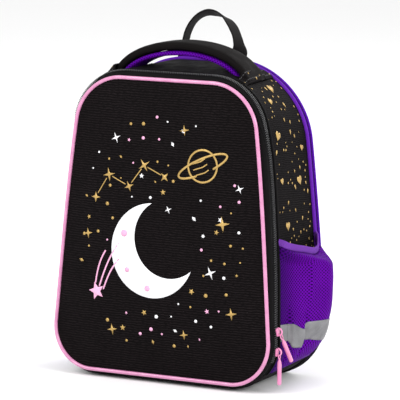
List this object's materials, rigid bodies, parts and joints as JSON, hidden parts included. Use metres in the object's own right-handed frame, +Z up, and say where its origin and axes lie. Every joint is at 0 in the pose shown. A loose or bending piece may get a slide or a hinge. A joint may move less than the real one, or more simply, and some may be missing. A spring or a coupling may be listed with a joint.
{
  "type": "school ransel",
  "caption": "Children's school ransel with a stiff domed front, zipped gusset, mesh side pockets, padded handle, hanging loop and shoulder straps.",
  "frame": {"origin": "middle of the flat base, where the bag stands", "axes": "+Z up, +Y towards the wearer's back, +X to the right seen from the front"},
  "size_m": [0.3588, 0.1811, 0.4296],
  "materials": {
    "shell_fabric": "ribbed polyester, matt",
    "printed_fabric": "ribbed polyester with scattered gold spots",
    "base_fabric": "coated polyester, matt",
    "pink_piping": "soft satin piping",
    "purple_piping": "woven piping",
    "purple_mesh": "perforated spacer mesh",
    "purple_binding": "elastic binding",
    "zipper_tape": "woven tape",
    "zipper_teeth": "nylon coil",
    "pink_enamel": "glossy enamel and soft rubber",
    "reflector": "grey retroreflective tape",
    "webbing": "ribbed polyester webbing",
    "buckle": "moulded acetal"
  },
  "bodies": {
    "root": {"front_panel": "shell_fabric", "front_piping": "pink_piping", "front_gusset": "base_fabric", "zipper_tape": "zipper_tape", "zipper_coil": "zipper_teeth", "slider_upper": "pink_enamel", "slider_lower": "pink_enamel", "pull_ring_upper": "pink_enamel", "pull_ring_lower": "pink_enamel", "pull_upper": "pink_enamel", "pull_lower": "pink_enamel", "base_panel": "base_fabric", "side_gusset_right": "printed_fabric", "side_gusset_left": "printed_fabric", "top_gusset": "base_fabric", "seam_strip_right": "printed_fabric", "seam_strip_left": "printed_fabric", "back_piping": "purple_piping", "back_panel": "purple_mesh", "side_pocket_right": "purple_mesh", "side_pocket_left": "purple_mesh", "pocket_binding_right": "purple_binding", "pocket_binding_left": "purple_binding", "pocket_reflector_right": "reflector", "pocket_reflector_left": "reflector", "carry_handle": "base_fabric", "handle_lining": "purple_mesh", "hang_loop": "webbing", "strap_yoke": "base_fabric", "shoulder_strap_right": "purple_mesh", "shoulder_strap_left": "purple_mesh", "strap_adjuster_right": "buckle", "strap_adjuster_left": "buckle", "strap_webbing_right": "webbing", "strap_webbing_left": "webbing", "strap_anchor_right": "webbing", "strap_anchor_left": "webbing"}
  },
  "joints": []
}
